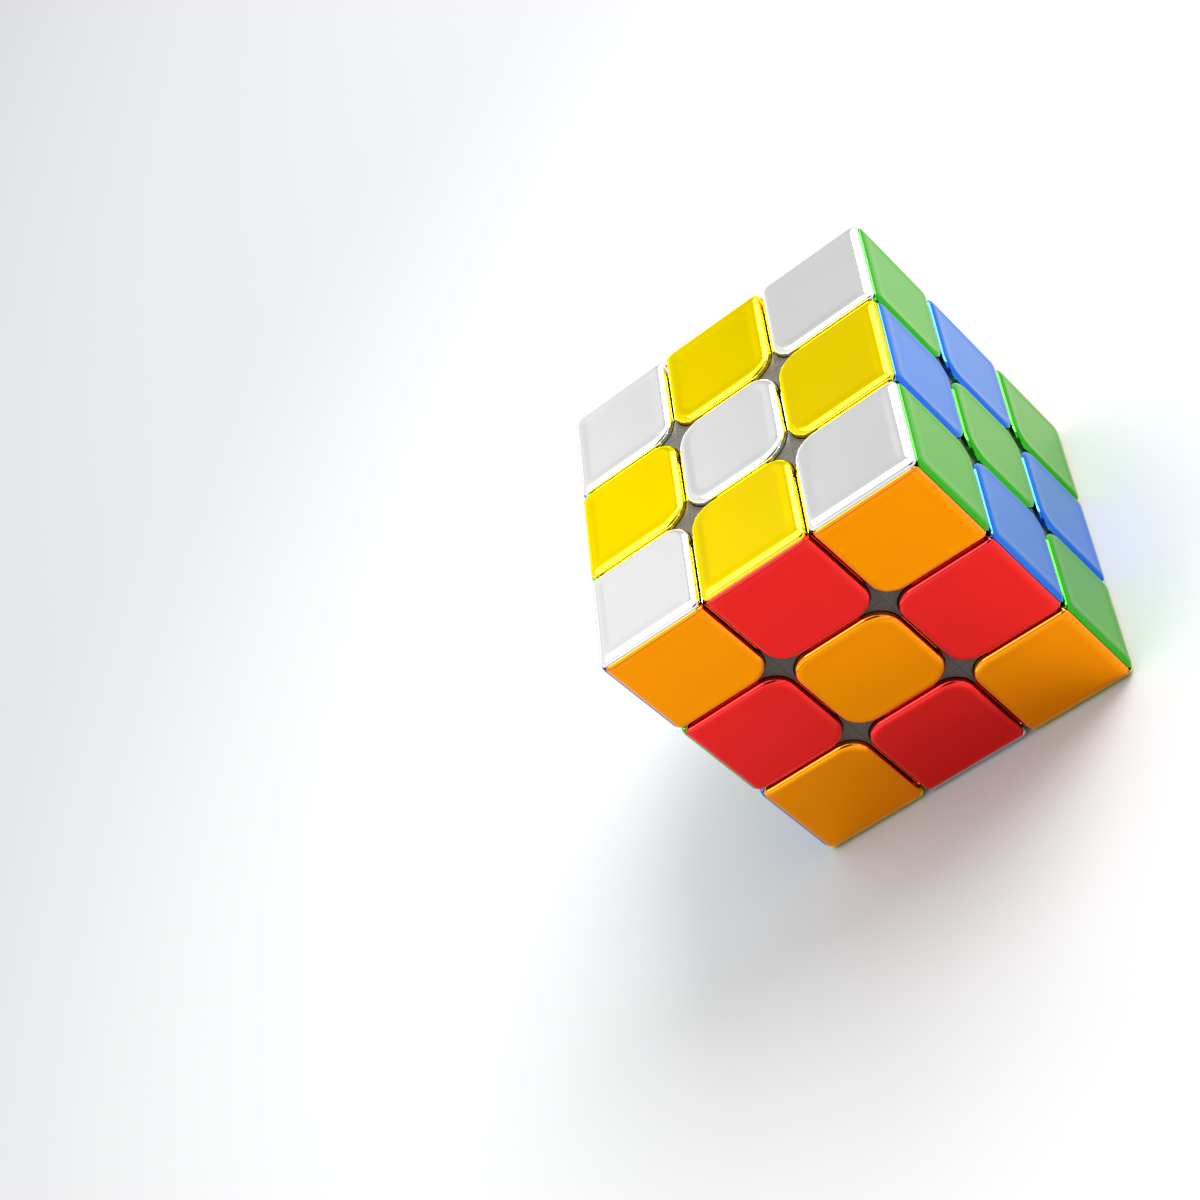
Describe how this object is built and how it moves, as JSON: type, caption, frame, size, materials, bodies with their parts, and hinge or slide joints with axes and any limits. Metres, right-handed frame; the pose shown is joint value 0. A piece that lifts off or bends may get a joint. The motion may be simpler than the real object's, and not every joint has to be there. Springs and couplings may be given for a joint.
{
  "type": "twisty puzzle cube",
  "caption": "Turning puzzle cube with mirror-plated coloured faces in a checkerboard, sprung centres and interlocking edge and corner pieces round a core.",
  "frame": {"origin": "middle of the core, where the six turning axes meet, which is also the middle of the cube", "axes": "+Z out of the top face, -Y out of the front face, +X out of the right face"},
  "size_m": [0.056, 0.056, 0.056],
  "materials": {
    "plated_silver": "polished",
    "plated_yellow": "polished",
    "plated_green": "polished",
    "plated_blue": "polished",
    "plated_orange": "polished",
    "plated_red": "polished",
    "dark_plastic": "satin",
    "steel": "satin"
  },
  "bodies": {
    "core": {"core_spider": "dark_plastic", "screw_top": "steel", "screw_bottom": "steel", "screw_front": "steel", "screw_back": "steel", "screw_left": "steel", "screw_right": "steel"},
    "top_axle": {"spring_top": "steel"},
    "top_centre": {"centre_base_top": "dark_plastic", "centre_cap_top": "plated_silver"},
    "bottom_axle": {"spring_bottom": "steel"},
    "bottom_centre": {"centre_base_bottom": "dark_plastic", "centre_cap_bottom": "plated_yellow"},
    "front_axle": {"spring_front": "steel"},
    "front_centre": {"centre_base_front": "dark_plastic", "centre_cap_front": "plated_green"},
    "back_axle": {"spring_back": "steel"},
    "back_centre": {"centre_base_back": "dark_plastic", "centre_cap_back": "plated_blue"},
    "left_axle": {"spring_left": "steel"},
    "left_centre": {"centre_base_left": "dark_plastic", "centre_cap_left": "plated_orange"},
    "right_axle": {"spring_right": "steel"},
    "right_centre": {"centre_base_right": "dark_plastic", "centre_cap_right": "plated_red"},
    "top_front_edge": {"edge_foot_top_front": "dark_plastic", "edge_shell_top_front": "plated_yellow"},
    "top_back_edge": {"edge_foot_top_back": "dark_plastic", "edge_shell_top_back": "plated_yellow"},
    "bottom_front_edge": {"edge_foot_bottom_front": "dark_plastic", "edge_shell_bottom_front": "plated_silver"},
    "bottom_back_edge": {"edge_foot_bottom_back": "dark_plastic", "edge_shell_bottom_back": "plated_silver"},
    "left_top_edge": {"edge_foot_left_top": "dark_plastic", "edge_shell_left_top": "plated_red"},
    "left_bottom_edge": {"edge_foot_left_bottom": "dark_plastic", "edge_shell_left_bottom": "plated_red"},
    "right_top_edge": {"edge_foot_right_top": "dark_plastic", "edge_shell_right_top": "plated_orange"},
    "right_bottom_edge": {"edge_foot_right_bottom": "dark_plastic", "edge_shell_right_bottom": "plated_orange"},
    "front_left_edge": {"edge_foot_front_left": "dark_plastic", "edge_shell_front_left": "plated_blue"},
    "front_right_edge": {"edge_foot_front_right": "dark_plastic", "edge_shell_front_right": "plated_blue"},
    "back_left_edge": {"edge_foot_back_left": "dark_plastic", "edge_shell_back_left": "plated_green"},
    "back_right_edge": {"edge_foot_back_right": "dark_plastic", "edge_shell_back_right": "plated_green"},
    "front_left_top_corner": {"corner_front_left_top": "plated_green"},
    "front_left_bottom_corner": {"corner_front_left_bottom": "plated_green"},
    "front_right_top_corner": {"corner_front_right_top": "plated_green"},
    "front_right_bottom_corner": {"corner_front_right_bottom": "plated_green"},
    "back_left_top_corner": {"corner_back_left_top": "plated_blue"},
    "back_left_bottom_corner": {"corner_back_left_bottom": "plated_blue"},
    "back_right_top_corner": {"corner_back_right_top": "plated_blue"},
    "back_right_bottom_corner": {"corner_back_right_bottom": "plated_blue"}
  },
  "joints": [
    {"name": "top_turn", "type": "hinge", "parent": "core", "child": "top_axle", "pos_m": [0, 0, 0], "axis": [0, 0, 1], "continuous": true},
    {"name": "top_float", "type": "slide", "parent": "top_axle", "child": "top_centre", "axis": [0, 0, 1], "range_m": [0, 0.00025], "stiffness_N_per_m": 500, "springref_m": -0.003},
    {"name": "bottom_turn", "type": "hinge", "parent": "core", "child": "bottom_axle", "pos_m": [0, 0, 0], "axis": [0, 0, -1], "continuous": true},
    {"name": "bottom_float", "type": "slide", "parent": "bottom_axle", "child": "bottom_centre", "axis": [0, 0, -1], "range_m": [0, 0.00025], "stiffness_N_per_m": 500, "springref_m": -0.003},
    {"name": "front_turn", "type": "hinge", "parent": "core", "child": "front_axle", "pos_m": [0, 0, 0], "axis": [0, -1, 0], "continuous": true},
    {"name": "front_float", "type": "slide", "parent": "front_axle", "child": "front_centre", "axis": [0, -1, 0], "range_m": [0, 0.00025], "stiffness_N_per_m": 500, "springref_m": -0.003},
    {"name": "back_turn", "type": "hinge", "parent": "core", "child": "back_axle", "pos_m": [0, 0, 0], "axis": [0, 1, 0], "continuous": true},
    {"name": "back_float", "type": "slide", "parent": "back_axle", "child": "back_centre", "axis": [0, 1, 0], "range_m": [0, 0.00025], "stiffness_N_per_m": 500, "springref_m": -0.003},
    {"name": "left_turn", "type": "hinge", "parent": "core", "child": "left_axle", "pos_m": [0, 0, 0], "axis": [1, 0, 0], "continuous": true},
    {"name": "left_float", "type": "slide", "parent": "left_axle", "child": "left_centre", "axis": [-1, 0, 0], "range_m": [0, 0.00025], "stiffness_N_per_m": 500, "springref_m": -0.003},
    {"name": "right_turn", "type": "hinge", "parent": "core", "child": "right_axle", "pos_m": [0, 0, 0], "axis": [-1, 0, 0], "continuous": true},
    {"name": "right_float", "type": "slide", "parent": "right_axle", "child": "right_centre", "axis": [1, 0, 0], "range_m": [0, 0.00025], "stiffness_N_per_m": 500, "springref_m": -0.003},
    {"name": "front_turn_of_top_front_edge", "type": "hinge", "parent": "top_axle", "child": "top_front_edge", "pos_m": [0, 0, 0], "axis": [0, -1, 0], "continuous": true},
    {"name": "back_turn_of_top_back_edge", "type": "hinge", "parent": "top_axle", "child": "top_back_edge", "pos_m": [0, 0, 0], "axis": [0, 1, 0], "continuous": true},
    {"name": "front_turn_of_bottom_front_edge", "type": "hinge", "parent": "bottom_axle", "child": "bottom_front_edge", "pos_m": [0, 0, 0], "axis": [0, -1, 0], "continuous": true},
    {"name": "back_turn_of_bottom_back_edge", "type": "hinge", "parent": "bottom_axle", "child": "bottom_back_edge", "pos_m": [0, 0, 0], "axis": [0, 1, 0], "continuous": true},
    {"name": "top_turn_of_left_top_edge", "type": "hinge", "parent": "left_axle", "child": "left_top_edge", "pos_m": [0, 0, 0], "axis": [0, 0, 1], "continuous": true},
    {"name": "bottom_turn_of_left_bottom_edge", "type": "hinge", "parent": "left_axle", "child": "left_bottom_edge", "pos_m": [0, 0, 0], "axis": [0, 0, -1], "continuous": true},
    {"name": "top_turn_of_right_top_edge", "type": "hinge", "parent": "right_axle", "child": "right_top_edge", "pos_m": [0, 0, 0], "axis": [0, 0, 1], "continuous": true},
    {"name": "bottom_turn_of_right_bottom_edge", "type": "hinge", "parent": "right_axle", "child": "right_bottom_edge", "pos_m": [0, 0, 0], "axis": [0, 0, -1], "continuous": true},
    {"name": "left_turn_of_front_left_edge", "type": "hinge", "parent": "front_axle", "child": "front_left_edge", "pos_m": [0, 0, 0], "axis": [1, 0, 0], "continuous": true},
    {"name": "right_turn_of_front_right_edge", "type": "hinge", "parent": "front_axle", "child": "front_right_edge", "pos_m": [0, 0, 0], "axis": [-1, 0, 0], "continuous": true},
    {"name": "left_turn_of_back_left_edge", "type": "hinge", "parent": "back_axle", "child": "back_left_edge", "pos_m": [0, 0, 0], "axis": [1, 0, 0], "continuous": true},
    {"name": "right_turn_of_back_right_edge", "type": "hinge", "parent": "back_axle", "child": "back_right_edge", "pos_m": [0, 0, 0], "axis": [-1, 0, 0], "continuous": true},
    {"name": "top_turn_of_front_left_top_corner", "type": "hinge", "parent": "front_left_edge", "child": "front_left_top_corner", "pos_m": [0, 0, 0], "axis": [0, 0, 1], "continuous": true},
    {"name": "bottom_turn_of_front_left_bottom_corner", "type": "hinge", "parent": "front_left_edge", "child": "front_left_bottom_corner", "pos_m": [0, 0, 0], "axis": [0, 0, -1], "continuous": true},
    {"name": "top_turn_of_front_right_top_corner", "type": "hinge", "parent": "front_right_edge", "child": "front_right_top_corner", "pos_m": [0, 0, 0], "axis": [0, 0, 1], "continuous": true},
    {"name": "bottom_turn_of_front_right_bottom_corner", "type": "hinge", "parent": "front_right_edge", "child": "front_right_bottom_corner", "pos_m": [0, 0, 0], "axis": [0, 0, -1], "continuous": true},
    {"name": "top_turn_of_back_left_top_corner", "type": "hinge", "parent": "back_left_edge", "child": "back_left_top_corner", "pos_m": [0, 0, 0], "axis": [0, 0, 1], "continuous": true},
    {"name": "bottom_turn_of_back_left_bottom_corner", "type": "hinge", "parent": "back_left_edge", "child": "back_left_bottom_corner", "pos_m": [0, 0, 0], "axis": [0, 0, -1], "continuous": true},
    {"name": "top_turn_of_back_right_top_corner", "type": "hinge", "parent": "back_right_edge", "child": "back_right_top_corner", "pos_m": [0, 0, 0], "axis": [0, 0, 1], "continuous": true},
    {"name": "bottom_turn_of_back_right_bottom_corner", "type": "hinge", "parent": "back_right_edge", "child": "back_right_bottom_corner", "pos_m": [0, 0, 0], "axis": [0, 0, -1], "continuous": true}
  ],
  "couplings": [
    {"joint": "front_turn_of_top_front_edge", "follows": "front_turn", "ratio": 1},
    {"joint": "back_turn_of_top_back_edge", "follows": "back_turn", "ratio": 1},
    {"joint": "front_turn_of_bottom_front_edge", "follows": "front_turn", "ratio": 1},
    {"joint": "back_turn_of_bottom_back_edge", "follows": "back_turn", "ratio": 1},
    {"joint": "top_turn_of_left_top_edge", "follows": "top_turn", "ratio": 1},
    {"joint": "bottom_turn_of_left_bottom_edge", "follows": "bottom_turn", "ratio": 1},
    {"joint": "top_turn_of_right_top_edge", "follows": "top_turn", "ratio": 1},
    {"joint": "bottom_turn_of_right_bottom_edge", "follows": "bottom_turn", "ratio": 1},
    {"joint": "left_turn_of_front_left_edge", "follows": "left_turn", "ratio": 1},
    {"joint": "right_turn_of_front_right_edge", "follows": "right_turn", "ratio": 1},
    {"joint": "left_turn_of_back_left_edge", "follows": "left_turn", "ratio": 1},
    {"joint": "right_turn_of_back_right_edge", "follows": "right_turn", "ratio": 1},
    {"joint": "top_turn_of_front_left_top_corner", "follows": "top_turn", "ratio": 1},
    {"joint": "bottom_turn_of_front_left_bottom_corner", "follows": "bottom_turn", "ratio": 1},
    {"joint": "top_turn_of_front_right_top_corner", "follows": "top_turn", "ratio": 1},
    {"joint": "bottom_turn_of_front_right_bottom_corner", "follows": "bottom_turn", "ratio": 1},
    {"joint": "top_turn_of_back_left_top_corner", "follows": "top_turn", "ratio": 1},
    {"joint": "bottom_turn_of_back_left_bottom_corner", "follows": "bottom_turn", "ratio": 1},
    {"joint": "top_turn_of_back_right_top_corner", "follows": "top_turn", "ratio": 1},
    {"joint": "bottom_turn_of_back_right_bottom_corner", "follows": "bottom_turn", "ratio": 1}
  ]
}
